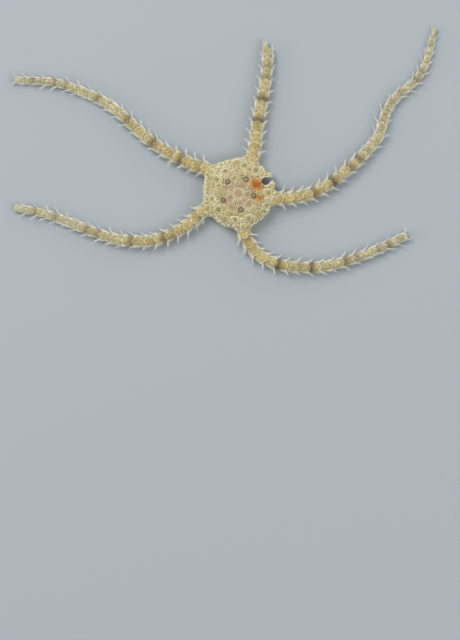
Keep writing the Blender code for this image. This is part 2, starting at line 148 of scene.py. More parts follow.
# Dark bands across each arm: distance from the disc's centre in millimetres, and strength
BANDS = (
    ((15.2, 0.85), (20.4, 0.85), (25.6, 0.45), (27.4, 0.35)),
    ((15.4, 0.65), (20.6, 1), (26.2, 0.75), (28.2, 0.75), (41.6, 0.3), (44, 0.3), (49, 0.55), (50.8, 0.55),
     (56.8, 0.25)),
    ((10.4, 0.4), (17.8, 0.95), (23.6, 0.3), (25.6, 0.95), (33.2, 0.7), (35.2, 0.45), (40, 0.5), (42.2, 0.7)),
    ((10.6, 0.4), (15.6, 0.4), (17.6, 0.7), (25.2, 0.75), (32.8, 0.45), (34.8, 0.55), (41.6, 0.5),
     (47.6, 0.45)),
    ((10, 0.3), (14.6, 0.85), (20, 0.5), (22, 0.4), (27.4, 0.7), (36.6, 0.55), (43.6, 0.5), (45.4, 0.5),
     (49.8, 0.5)),
)
BAND_HALF = 0.75 * MM
BAND_SHIFT = 0.3 * MM
BAND_SNAP = 0.8 * MM

# Disc
DISC_RADIUS = 7.45 * MM
DISC_TOP = 4.2 * MM
DISC_MIDDLE = 1.75 * MM
DISC_UNDERSIDE = 0.4 * MM
TOP_SQUARENESS = 2.5
UNDERSIDE_SQUARENESS = 4.0
FULLER_BY_AN_ARM = 0.03
CORNER_REACH = 1.0 * MM
CORNER_HALF, CORNER_FADE = 6.5, 9.5
CORNER_SINK = 0.2
DISC_COLUMNS = 560
TOP_ROWS, UNDER_ROWS = 104, 62
PLATE_RELIEF = 0.15 * MM
PLATE_EDGE, PLATE_EDGE_BENEATH = 0.15 * MM, 0.26 * MM
# Widths of the painted shade in the grooves between the disc's plates, on top and beneath
CREASE_SHADE, CREASE_SHADE_BENEATH = 0.12 * MM, 0.2 * MM
PLATE_ROUNDNESS = 1.42
RING_PLACE, RING_WIDTH = 0.76, 0.17 * MM
PLATE_DOME = 0.06 * MM
PLATE_TILT = 0.045 * MM
SCALE_ROOM_TOP, SCALE_ROOM_MARGIN = 0.44 * MM, 0.36 * MM
SCALE_SHARE = (0.55, 0.75)
PLATE_ROOM = 0.85 * MM

# Kinds of plate, and the marked plates of each kind: x and y from the disc's centre, radius, in millimetres
PLAIN, RINGED, SHIELD, PALE, ARM_LIKE = range(5)
MARKED_PLATES = {
    RINGED: ((-2.23, 2.42, 0.6), (1.66, 2.89, 0.66), (3.23, -0.55, 0.62), (0.53, -3.53, 0.68),
             (-3.19, -1.51, 0.66)),
    SHIELD: ((1.21, 5.89, 0.85), (3.85, 4.82, 0.95), (6.42, 0.06, 0.9), (5.97, -2.74, 0.95),
             (-0.64, -5.57, 0.95), (2.3, -5.31, 0.9), (-4.17, -3.46, 0.95), (-5.57, -1.25, 0.9),
             (-4.5, 2.89, 0.9), (-2.76, 4.65, 0.95)),
    PALE: ((0.05, 0, 1.05), (6.12, -1.4, 0.6), (0.85, -5.74, 0.58), (2.62, 5.72, 0.5), (-5, -2.5, 0.5),
           (-3.8, 4, 0.5)),
    ARM_LIKE: ((7.7, -1.35, 0.78), (1.08, -7.14, 0.75), (-6.6, -3.2, 0.75), (-5.6, 4.55, 0.7), (3, 7, 0.75)),
}

# Rings of plain plates: distance from the centre in millimetres, turn in degrees to both sides of the arm's
# line or of the line midway between two arms, and radius in millimetres
PLATES_BY_AN_ARM = ((2.02, 0, 0.86), (4.75, 0, 0.5), (4.45, 18, 0.64), (2.0, 36, 0.5))
PLATES_BETWEEN_ARMS = ((3.15, 0, 0.82), (4.65, 0, 0.66), (6.0, 0, 0.62), (6.3, 12.5, 0.6))

# Orange stains and reddish flushes on the disc: place from its centre in millimetres, size and strength
STAINS = ((3.7, 1.95, 1.05, 1.1), (4.6, 1.35, 0.6, 0.5), (4.4, -0.85, 1, 0.66))
FLUSHES = ((3, 0.9, 0.5, 0.5), (2.2, 3.5, 0.5, 0.45), (3.45, -1.1, 0.5, 0.6), (3.3, 7, 0.5, 0.5),
           (3.9, -2, 0.5, 0.3))

# Tear in the disc's margin between the first two arms: its line, its depth, its half width by distance from
# the disc's centre, and the three flaps beside it (turn from its line, half span in degrees, reach)
TEAR_ANGLE = math.radians(23.5)
TEAR_INNER = 5.5 * MM
TEAR_HALF_WIDTH = (
    (5.5, 5.58, 5.75, 6.1, 6.5, 6.9, 7.3, 7.7, 8.2, 8.8),
    (0.0, 0.3, 0.55, 0.78, 0.8, 0.62, 0.4, 0.28, 0.3, 0.5),
)
TEAR_COLUMNS = 16
TEAR_TURN = math.radians(0.5)
TEAR_SPREAD = 1.6 * MM
TEAR_FLAPS = ((6.0, 5.0, 0.85 * MM), (-8.0, 5.5, 0.55 * MM), (-1.5, 2.5, 0.3 * MM))

# Mouth
MOUTH_DEPTH = 1.45 * MM
MOUTH_MIDDLE = 0.9 * MM
SLIT_HALF_WIDTH = 0.3 * MM
SLIT_END = 3.5 * MM
JAW_INNER, JAW_OUTER = 0.82 * MM, 3.5 * MM
JAW_BOTTOM, JAW_TOP = 0.1 * MM, 1.8 * MM
JAW_GROOVE_DEPTH, JAW_GROOVE_WIDTH = 0.12 * MM, 0.05 * MM
JAW_END, JAW_END_SLANT = 2.25 * MM, 0.32
PAPILLA_PLACES = (0.92, 1.3, 1.3, 1.8, 1.8, 2.3, 2.3, 2.8, 2.8)
SHIELD_PLACE = 4.4 * MM
SHIELD_HALF = (0.9 * MM, 0.95 * MM, 0.24 * MM)

# Slits beside the arms on the underside: how far from the arm, half width, depth, and distances from the
# disc's centre; and the swollen parts between them
ARM_SLIT_GAP, ARM_SLIT_WIDTH, ARM_SLIT_DEPTH = 0.35 * MM, 0.16 * MM, 0.4 * MM
ARM_SLIT_FROM, ARM_SLIT_TO, ARM_SLIT_FADE = 3.9 * MM, 6.6 * MM, 0.5 * MM
LOBE_HEIGHT = 0.2 * MM

# Spines: levels on the arm as shares of the half section, from the side plate's upper corner to the sole
SPINE_LEVELS = (0.8, 1.08, 1.38, 1.66)
SPINE_PLACE = 0.8
SPINE_ROOT = 0.16 * MM
SPINE_LENGTHS = ((9, 15, 22, 30, 42, 60), (1.25, 1.15, 1.15, 1.4, 1.75, 1.7))
SPINE_ANGLE_BASE, SPINE_ANGLE_END = 58.0, 28.0
SPINE_TURN_SPAN = 22 * MM
SPINE_SWAY, SPINE_SWAY_LENGTH = 13.0, 2.3 * MM
SPINE_CLIMB = ((0.78, 1.2, 1.66), (32, 6, -12))
SPINE_FLOOR = 0.1 * MM
SPINE_SIDES = 6
SPINE_SHAPE = ((0.0, 0.12, 0.24, 0.45, 0.7, 0.9, 1.0), (0.2, 0.17, 0.1, 0.078, 0.062, 0.044, 0.016))
SPINE_THIN_SHARE = 0.6
SPINE_TUFT = 0.003

# Calcite's refractive index, the mean of its two, and the sizes of the patterns in the skin's colour
CALCITE_IOR = 1.6
OLIVE_PATCH, DRIED_SKIN, BAND_BLOTCH, FLECK = 1.4 * MM, 0.6 * MM, 0.5 * MM, 0.4 * MM
PIT_SIZE = 0.09 * MM


def ease(t):
    """A smooth step: three t squared less two t cubed between 0 and 1, level outside."""
    t = np.clip(t, 0.0, 1.0)
    return t * t * (3.0 - 2.0 * t)


def bump(x, width):
    """A hump of height 1 at x = 0: e to the power of minus the square of x / width."""
    return np.exp(-((x / width) ** 2))


def leftwards(way):
    """Level directions a quarter turn to the left of others."""
    return np.stack([-way[..., 1], way[..., 0]], -1)


def raised(level, up):
    """Level vectors with heights as their third coordinate."""
    return np.concatenate([level, np.broadcast_to(up, level.shape[:-1])[..., None]], -1)


def unit(way):
    """Vectors brought to length 1."""
    return way / np.linalg.norm(way, axis=-1, keepdims=True)


def linear(code):
    """An sRGB hex colour as linear red, green, blue and alpha."""
    parts = [int(code[i : i + 2], 16) / 255 for i in (1, 3, 5)]
    return (*[p / 12.92 if p <= 0.04045 else ((p + 0.055) / 1.055) ** 2.4 for p in parts], 1.0)


class Arm:
    """One arm's course: a Catmull-Rom curve from the disc's centre through the route's points."""

    def __init__(self, route):
        points = np.vstack([(0.0, 0.0), np.array(route) * MM])
        before = np.vstack([2 * points[0] - points[1], points[:-1]])
        after = np.vstack([points[1:], 2 * points[-1] - points[-2]])
        slopes = (after - before) / 2
        t = (np.arange(24) / 24)[None, :, None]
        p, q = points[:-1, None], points[1:, None]
        m, n = slopes[:-1, None], slopes[1:, None]
        curve = ((2 * t**3 - 3 * t**2 + 1) * p + (t**3 - 2 * t**2 + t) * m
                 + (3 * t**2 - 2 * t**3) * q + (t**3 - t**2) * n)
        self.line = np.vstack([curve.reshape(-1, 2), points[-1]])
        steps = np.linalg.norm(np.diff(self.line, axis=0), axis=1)
        self.distance = np.concatenate([[0.0], np.cumsum(steps)])
        self.end = self.distance[-1]
        self.azimuth = math.atan2(route[0][1], route[0][0])
        ends = [ARM_START]
        while ends[-1] < self.end:
            phase = math.pi * (ends[-1] - SEGMENT_FROM) / SEGMENT_SPAN
            ends.append(ends[-1] + SEGMENT_LENGTH + SEGMENT_SWELL * math.sin(phase))
        free = np.array(ends)
        free = ARM_START + (free - ARM_START) * (self.end - ARM_START) / (free[-1] - ARM_START)
        first = free[1] - free[0]
        inner = ARM_START - first * 0.97 * np.arange(ROOTS_INSIDE, 0, -1)
        self.joints = np.concatenate([inner, free])
        draw = np.random.default_rng(len(route))
        self.joints[1:-1] += draw.uniform(-JOINT_SHIFT, JOINT_SHIFT, len(self.joints) - 2)

    def place(self, d):
        """Points of the course at distances d, running straight on past its end."""
        flat = np.stack([np.interp(d, self.distance, self.line[:, i]) for i in (0, 1)], -1)
        past = np.maximum(d - self.end, 0.0)[..., None]
        return flat + past * unit(self.line[-1] - self.line[-2])

    def forward(self, d):
        """Unit directions along the arm, read over half a millimetre each way."""
        reach = 0.5 * MM
        return unit(self.place(d + reach) - self.place(np.maximum(d - reach, 0.0)))


def arm_width(d):
    """An arm's whole width at distances d: it narrows evenly, down to a least width."""
    return np.maximum(WIDTH_LEAST, WIDTH_AT_CENTRE - WIDTH_LOSS * d)


def along_evenly(x, y, count):
    """Resamples a curve of points x, y at count even steps of its own length."""
    length = np.concatenate([[0.0], np.cumsum(np.hypot(np.diff(x), np.diff(y)))])
    at = np.linspace(0.0, length[-1], count)
    return np.interp(at, length, x), np.interp(at, length, y), at


def half_section():
    """Half an arm's section for a half width of 1, from the top round to the middle of the sole: x, z,
    distance round it, and the outward direction.

    The upper part is a quarter of a superellipse above the waist, and the lower part one below it.
    """
    t = np.linspace(0.0, math.pi, 1001)
    s, c = np.sin(t), np.cos(t)
    power = 2 / np.where(c >= 0, SECTION_UPPER, SECTION_LOWER)
    tall = np.where(c >= 0, 1 - SECTION_WAIST, -SECTION_WAIST)
    z = 2 * HEIGHT_SHARE * (SECTION_WAIST + tall * np.abs(c) ** power)
    x, z, at = along_evenly(np.abs(s) ** power, z, 160)
    way = np.stack([np.gradient(x), np.gradient(z)])
    way /= np.linalg.norm(way, axis=0)
    return x, z, at, -way[1], way[0]


SECTION_X, SECTION_Z, SECTION_ARC, SECTION_OUT_X, SECTION_OUT_Z = half_section()
SECTION_HALF = SECTION_ARC[-1]


def top_plate_edge(g):
    """Half the top plate's width at a share g of its length: a fan with rounded far corners."""
    wide = TOP_PLATE_NARROW + (TOP_PLATE_WIDE - TOP_PLATE_NARROW) * ease(g / 0.72)
    return wide * (1 - 0.2 * ease((g - 0.78) / 0.25) ** 2)


def under_plate_edge(g):
    """Half the under plate's width: an axe blade, narrowest at its near end."""
    return UNDER_PLATE_NARROW + (UNDER_PLATE_WIDE - UNDER_PLATE_NARROW) * ease((g - 0.15) / 0.6)


def skin_columns(g):
    """Places of the skin's columns round half a section, by row: they follow the plates' edges."""
    edges = (0.0, top_plate_edge(g), SIDE_END, SECTION_HALF - under_plate_edge(g), SECTION_HALF)
    fields = zip(edges[:-1], edges[1:], FIELD_COLUMNS)
    return np.concatenate([near + (far - near) * np.array(shares) for near, far, shares in fields], axis=1)


def new_object(name, data):
    made = bpy.data.objects.new(name, data)
    bpy.context.scene.collection.objects.link(made)
    return made


def mesh_piece(name, points, finish, values=(), uv_middle=None, uv_size=None):
    """A piece of closed tubes: points is tubes x rings x points round x 3, each end drawn to one point.

    A ring runs so that its first turn crossed with its second points back along the tube. uv_middle and
    uv_size place each tube's patch on the unwrap, and by default it fills it.
    """
    tubes, rings, around, _ = points.shape
    ends = points[:, (0, -1)].mean(2)
    spots = np.concatenate([points.reshape(-1, 3), ends.reshape(-1, 3)])
    spots[:, :2] += DISC_CENTRE
    index = np.arange(tubes * rings * around).reshape(tubes, rings, around)
    beside = np.roll(index, -1, axis=2)
    quads = np.stack([index[:, :-1], index[:, 1:], beside[:, 1:], beside[:, :-1]], -1).reshape(-1, 4)
    tips = tubes * rings * around + np.arange(tubes * 2).reshape(tubes, 2, 1) + np.zeros(around, int)
    fans = np.stack([
        np.stack([tips[:, 0], index[:, 0], beside[:, 0]], -1),
        np.stack([tips[:, 1], beside[:, -1], index[:, -1]], -1),
    ], 1).reshape(-1, 3)

    flat = np.stack(np.meshgrid(np.arange(around + 1) / around, np.linspace(0.0, 1.0, rings)), -1)
    square = np.stack([flat[:-1, :-1], flat[1:, :-1], flat[1:, 1:], flat[:-1, 1:]], 2)
    middle = (flat[:, :-1] + flat[:, 1:]) / 2
    fan = np.stack([np.stack([middle[0], flat[0, :-1], flat[0, 1:]], 1),
                    np.stack([middle[-1], flat[-1, 1:], flat[-1, :-1]], 1)])
    parts = [np.tile(part.reshape(-1, 2), (tubes, 1, 1)) for part in (square, fan)]
    if uv_middle is not None:
        parts = [uv_middle[:, None] + (part - 0.5) * uv_size for part in parts]
    uv = np.concatenate([part.reshape(-1, 2) for part in parts])

    mesh = bpy.data.meshes.new(name)
    mesh.vertices.add(len(spots))
    mesh.vertices.foreach_set("co", spots.astype(np.float32).ravel())
    corners = np.concatenate([quads.ravel(), fans.ravel()])
    mesh.loops.add(len(corners))
    mesh.loops.foreach_set("vertex_index", corners.astype(np.int32))
    starts = np.concatenate([np.arange(len(quads)) * 4, len(quads) * 4 + np.arange(len(fans)) * 3])
    mesh.polygons.add(len(starts))
    mesh.polygons.foreach_set("loop_start", starts.astype(np.int32))
    mesh.update(calc_edges=True)
    mesh.uv_layers.new(name="OFBake").data.foreach_set("uv", uv.astype(np.float32).ravel())
    for label, value in dict(values).items():
        grid = np.broadcast_to(value, (tubes, rings, around))
        whole = np.concatenate([grid.ravel(), grid[:, (0, -1)].mean(2).ravel()])
        mesh.attributes.new(label, "FLOAT", "POINT").data.foreach_set("value", whole.astype(np.float32))
    mesh.shade_smooth()
    mesh.materials.append(finish)
    piece = new_object(name, mesh)
    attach(piece, ROOT_BODY)
    return piece


def feed(tree, taker, inputs):
    """Gives a node its inputs, as values or as links from other nodes' outputs."""
    for socket, value in inputs.items():
        if isinstance(value, bpy.types.NodeSocket):
            tree.links.new(value, taker.inputs[socket])
        else:
            taker.inputs[socket].default_value = value


def node(tree, kind, inputs={}, output=0, **settings):
    """Adds one node, of the kind whose name follows ShaderNode, and returns the wanted output. A Mix
    node's colours are inputs 6 and 7, and a MapRange node's limits are inputs 1 to 4."""
    made = tree.nodes.new("ShaderNode" + kind)
    for label, value in settings.items():
        setattr(made, label, value)
    feed(tree, made, inputs)
    return made.outputs[output]


def new_finish(name):
    """An empty material, its tree and its Principled shader."""
    made = bpy.data.materials.new(name)
    made.use_nodes = True
    tree = made.node_tree
    return made, tree, tree.nodes["Principled BSDF"]


def painted(tree, colour, layers):
    """Lays colours over a first one, each as far as its share goes. A share is the name of an attribute
    or a node's output, and a colour is a hex code or a node's output."""
    for share, over in layers:
        if isinstance(share, str):
            share = node(tree, "Attribute", output="Fac", attribute_name=share)
        two = [linear(c) if isinstance(c, str) else c for c in (colour, over)]
        colour = node(tree, "Mix", {0: share, 6: two[0], 7: two[1]}, 2, data_type="RGBA")
    return colour


def grain(tree, shader, size, depth):
    """The fine pitted grain of limy skeleton, as bump: pits of the given size and depth in metres, on a
    surface that is uneven over three times that size. The real pits are about 0.02 mm, drawn coarser to
    be seen."""
    where = node(tree, "TexCoord", output="Object")
    uneven = node(tree, "TexNoise", {"Vector": where, "Scale": 1 / (3 * size), "Detail": 4.0})
    pits = node(tree, "TexVoronoi", {"Vector": where, "Scale": 1 / size}, feature="SMOOTH_F1")
    height = node(tree, "Math", {0: uneven, 1: 2.0, 2: pits}, operation="MULTIPLY_ADD")
    raised = node(tree, "Bump", {"Height": height, "Distance": depth, "Strength": 0.6})
    feed(tree, shader, {"Normal": raised})
    return where, pits


def calcite(tree, shader, colour, roughness, weight, depths):
    """The surface of calcite: colour, roughness, how much light passes through it and how deep."""
    feed(tree, shader, {
        "Base Color": colour, "Roughness": roughness, "IOR": CALCITE_IOR, "Subsurface Weight": weight,
        "Subsurface Radius": [depth * MM for depth in depths], "Subsurface Scale": 1.0,
    })


def patches(tree, where, size, detail, limits):
    """Noise in patches of the given size, stretched from between the first two limits to the other two."""
    noise = node(tree, "TexNoise", {"Vector": where, "Scale": 1 / size, "Detail": detail})
    return node(tree, "MapRange", {0: noise, **dict(enumerate(limits, 1))})


def limy_skeleton(tree, shader, colour, where, pits, roughness, mottle=0.13):
    """Ends a finish of limy plates: olive in some patches, darker and lighter in smaller patches of dried
    skin, with painted shade in the pits, satin, with a little light that passes through the thin skin."""
    olive = patches(tree, where, OLIVE_PATCH, 1.0, (0.45, 0.75, 0.0, 0.4))
    tinged = node(tree, "Mix", {0: olive, 6: colour, 7: linear("#CFCB93")}, 2, data_type="RGBA",
                  blend_type="MULTIPLY")
    shade = patches(tree, where, DRIED_SKIN, 3.0, (0.3, 0.7, 1 - mottle, 1 + 0.9 * mottle))
    mottled = node(tree, "VectorMath", {0: tinged, 1: shade}, operation="MULTIPLY")
    # Painted shade: darker in the pits, a little lighter between them.
    pitted = node(tree, "MapRange", {0: pits, 1: 0.05, 2: 0.5, 3: 0.88, 4: 1.04})
    pit_shaded = node(tree, "VectorMath", {0: mottled, 1: pitted}, operation="MULTIPLY")
    calcite(tree, shader, pit_shaded, roughness, 0.1, (0.25, 0.2, 0.15))


def arm_plate_finish():
    """Calcite plates of the arms under thin dried skin: golden tan, pale rims, whitish sides with some
    painted shade.
    """
    made, tree, shader = new_finish("calcite_arm_plates")
    where, pits = grain(tree, shader, PIT_SIZE, 0.03 * MM)
    golden, deeper, flank_tone_and_shade = [
        painted(tree, near, [("far", far)])
        for near, far in (("#C6B06A", "#B9B08C"), ("#AE9552", "#A39974"), ("#A5956A", "#ABA58A"))
    ]
    # The flanks are darker than the top, partly in the side plates' own tone and partly as painted shade on
    # the arm's sides.
    flank = painted(tree, flank_tone_and_shade, [("pale", "#E2DFCB")])
    dry = patches(tree, where, FLECK, 3.0, (0.5, 0.66, 0.0, 0.6))
    uneven = patches(tree, where, BAND_BLOTCH, 2.0, (0.3, 0.7, 0.55, 1.0))
    band = node(tree, "Attribute", output="Fac", attribute_name="band")
    banding = node(tree, "Math", {0: band, 1: uneven}, operation="MULTIPLY")
    # Painted shade in this list: the brown of the grooves and notches, and the dark brown of the pores.
    colour = painted(tree, golden, [
        ("tint", deeper), ("side", flank), (dry, "#E6DFBC"), ("rim", "#EFE8C8"), ("crease_shade", "#8A774A"),
        (banding, "#523A14"), ("under", "#DCD6C2"), ("bare", "#C9C5A8"), ("pore", "#6E5A44"),
    ])
    limy_skeleton(tree, shader, colour, where, pits, 0.5, 0.24)
    return made


def disc_plate_finish():
    """Calcite scales of the disc under dried skin: beige and pinkish in the middle, olive cream outside,
    painted shade in grooves and mouth.
    """
    made, tree, shader = new_finish("calcite_disc_scales")
    where, pits = grain(tree, shader, PIT_SIZE, 0.03 * MM)
    # Painted shade in this list: the brown of the grooves and the dark reddish brown of the mouth and slits.
    colour = painted(tree, "#CBBC84", [
        ("inner", "#B79876"), ("tint", "#B9A76C"), ("gold", "#C4A669"), ("olive", "#77713F"),
        ("under", "#CDC4AA"), ("rim", "#F0EACB"), ("flush", "#C98A66"), ("stain", "#CD9014"),
        ("deep", "#B85C02"), ("crease_shade", "#A99666"), ("ring", "#5C3D24"), ("mouth", "#3E1710"),
    ])
    limy_skeleton(tree, shader, colour, where, pits, 0.52, 0.18)
    return made


def spine_finish():
    """Clear calcite spines: glassy, whitish, a little cloudy."""
    made, tree, shader = new_finish("glassy_calcite_spines")
    grain(tree, shader, 0.08 * MM, 0.006 * MM)
    calcite(tree, shader, painted(tree, "#DAD3BC", [("tip", "#DFE1E0")]), 0.3, 0.25, (0.3, 0.3, 0.3))
    return made


def jaw_finish():
    """Dense calcite of the jaws: smooth ivory, with painted shade brown in the grooves and reddish brown deep
    in the mouth.
    """
    made, tree, shader = new_finish("ivory_calcite_jaws")
    where, pits = grain(tree, shader, PIT_SIZE, 0.022 * MM)
    colour = painted(tree, "#D8CBAA", [("crease_shade", "#8C6A45"), ("deep", "#7A3B22")])
    limy_skeleton(tree, shader, colour, where, pits, 0.42)
    return made


def arm_skin(number, arm, nodes, finish):
    """One arm from inside the disc to its broken end.

    Rows run in segments. Within one, g goes from 0 at the near edge of its plates to 1 at their far edge,
    which stands out over the next. Rows bow back towards the sides, so the top plates end round. Relief is
    a ramp along g, a groove where two plates meet, a crown on the top plate, and pores with their flaps
    beside the under plate. How far the sides stand out varies from segment to segment.
    """
    joints = arm.joints
    bare_length, _, _, swell, closing = ARM_ENDS[number - 1]
    past = np.array(closing)
    start, size, drift, extra = STUMPS.get(number, (arm.end - 0.5 * MM, 1.0, 0.0, 0.0))
    end = arm.end + extra
    count = len(joints) - 1
    g = np.tile(SEGMENT_ROWS, count)[:, None]
    segment = np.repeat(np.arange(count), len(SEGMENT_ROWS))[:, None]
    tints, swells = np.random.default_rng(100 + number).uniform(0.0, 1.0, (2, count))[:, segment]
    pace = np.diff(joints)[segment]
    arc = skin_columns(g)
    bowed = EDGE_BOW * (ease(arc / 0.7) - ease((arc - SIDE_END) / 0.9))
    d = joints[segment] + (g - bowed) * pace
    d = np.minimum(d + extra * ease((d - start) / (arm.end - start)), end)
    half = arm_width(d) / 2
    share = half / (FULL_WIDTH / 2)
    far = ease((d - FAR_FROM) / FAR_SPAN)

    top_edge = (top_plate_edge(g) - arc) * half
    under_edge = (arc - SECTION_HALF + under_plate_edge(g)) * half
    on_top = top_edge > 1e-9
    lower = ease((arc - SIDE_END) / 0.3)
    aside = ease((arc - 0.6) / 0.7)
    side_step = SIDE_PLATE_STEP * np.sqrt(share) * aside * (SWELL_LEAST + SWELL_SPAN * swells)
    step = TOP_PLATE_STEP * share * (1 - aside) + side_step
    step = step * (1 - lower) + UNDER_PLATE_STEP * share * lower
    crown = TOP_PLATE_CROWN * np.maximum(1 - (arc / top_plate_edge(g)) ** 2, 0.0)
    rise = step * g + share * (crown + TOP_PLATE_LIFT * on_top)
    rise += SPINE_RIDGE * share * bump(g - SPINE_PLACE, 0.1) * ease((arc - 0.72) / 0.12) * (1 - lower)
    rise -= GROOVE_DEPTH * share * bump(top_edge, GROOVE_WIDTH) * ease(g / 0.1)
    rise -= 0.5 * GROOVE_DEPTH * share * bump(under_edge, GROOVE_WIDTH)
    pore = bump(np.hypot((g - PORE_PLACE) * pace, under_edge + 0.1 * MM), PORE_SIZE * np.sqrt(share))
    flap = bump(np.hypot((g - FLAP_PLACE) * pace, under_edge + 0.2 * MM), FLAP_SIZE)
    rise += share * (FLAP_HEIGHT * flap - PORE_DEPTH * pore)

    width = SKIN_WIDTH_NEAR + (SKIN_WIDTH_FAR - SKIN_WIDTH_NEAR) * far
    width = width * (1 + swell * bump(d - arm.end + 0.8 * MM, 0.8 * MM))
    x, z, out_x, out_z = [np.interp(arc, SECTION_ARC, curve)
                          for curve in (SECTION_X, SECTION_Z, SECTION_OUT_X, SECTION_OUT_Z)]
    flat = np.stack([x * half * width, z * half * SKIN_HEIGHT + SKIN_LIFT], -1)
    flat = flat + np.stack([out_x, out_z], -1) * rise[..., None]
    flat[..., 1] = np.maximum(flat[..., 1], 0.0)
    stump = ease((d - start) / STUMP_SHOULDER)
    flat[..., 0] *= 1 - (1 - size) * stump
    flat[..., 1] = flat[..., 1] * (1 - (1 - size) * stump) + STUMP_LIFT * (1 - size) * stump
    drifted = drift * np.clip((d - start) / (end - start), 0, 1)

    def held(rows):
        """The rows, with the last one repeated for the closing rings."""
        return np.concatenate([rows, np.repeat(rows[-1:], len(past), 0)])

    def all_round(half_rows, sign=1):
        """Both halves of the rows: the columns of one side, then those of the other side backwards."""
        return np.concatenate([half_rows, sign * half_rows[:, -2:0:-1]], axis=1)

    last = flat[-1]
    sizes = past[:, 1, None, None]
    ends = last[None] * sizes
    ends[..., 1] += last[:, 1].mean() * (1 - sizes[..., 0])
    flat = np.concatenate([flat, ends])
    d = np.concatenate([d, np.broadcast_to(end + past[:, :1] * MM, (len(past), d.shape[1]))])

    band = 0.0
    for place, strength in BANDS[number - 1]:
        to_joint = joints[np.abs(joints - place * MM).argmin()] - place * MM
        middle = place * MM + np.clip(to_joint, -BAND_SNAP, BAND_SNAP) + BAND_SHIFT
        band = band + strength * bump(d - middle, BAND_HALF)
    to_edge = np.minimum(np.abs(top_edge), (1 - g) * pace)
    # Painted shade: dark along the grooves at the plates' edges and in the notch where each segment slips
    # under the flare of the one before.
    groove_and_notch_shade = bump(top_edge, 0.05 * MM) * ease(g / 0.1) + 0.5 * (1 - ease(g / 0.2))
    flared = ease((arc - 0.75) / 0.6) * g**2.5
    ridge = bump(arc - PALE_RIDGE, PALE_RIDGE_WIDTH)
    values = {
        "rim": bump(to_edge, RIM_WIDTH) * (0.25 + 0.75 * g) * (1 - lower),
        "crease_shade": groove_and_notch_shade * (1 - lower) + 0.6 * bump(under_edge, 0.06 * MM),
        "tint": tints + 0 * arc,
        # Where the flank colour goes: partly the side plates' own tone, partly painted shade.
        "side": 1.0 - on_top,
        "pale": np.clip(0.05 + 0.25 * g + 0.8 * flared + 0.5 * ridge + 0.15 * far + 0.3 * lower, 0, 1),
        "far": far,
        "under": lower,
        # Painted shade: dark in the pores' pits.
        "pore": np.clip(pore * 1.3, 0, 1),
    }
    values = {label: held(value) for label, value in values.items()}
    values["band"] = np.clip(band * (1 - ease((held(arc) - 1.5) / 0.5)), 0, 1)
    values["bare"] = ease((d - arm.end + bare_length * MM) / BARE_FADE)

    d = all_round(d)
    across = all_round(flat[..., 0], -1) + all_round(held(drifted))
    level = arm.place(d) + leftwards(arm.forward(d)) * across[..., None]
    points = raised(level, all_round(flat[..., 1]))
    values = {label: all_round(value)[None] for label, value in values.items()}
    piece = mesh_piece(f"arm_{number}_skin", points[None], finish, values)
    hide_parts(*nodes)


def tubes(foot, way, length, shares, radii, bend, sides):
    """Points of many round tapering tubes at once: lines from foot along way, bowed by bend * t^2, with
    a ring at each of the shares t of the length."""
    t = shares[None, :, None]
    along = foot[:, None] + way[:, None] * length[:, None, None] * t + bend[:, None] * t**2
    first = unit(np.cross(way, np.array([0.0, 0.0, 1.0]) + 0.01))
    second = np.cross(first, way)
    turn = 2 * math.pi * np.arange(sides) / sides
    ring = first[:, None] * np.cos(turn)[None, :, None] + second[:, None] * np.sin(turn)[None, :, None]
    return along[:, :, None] + ring[:, None] * radii[:, :, None, None]


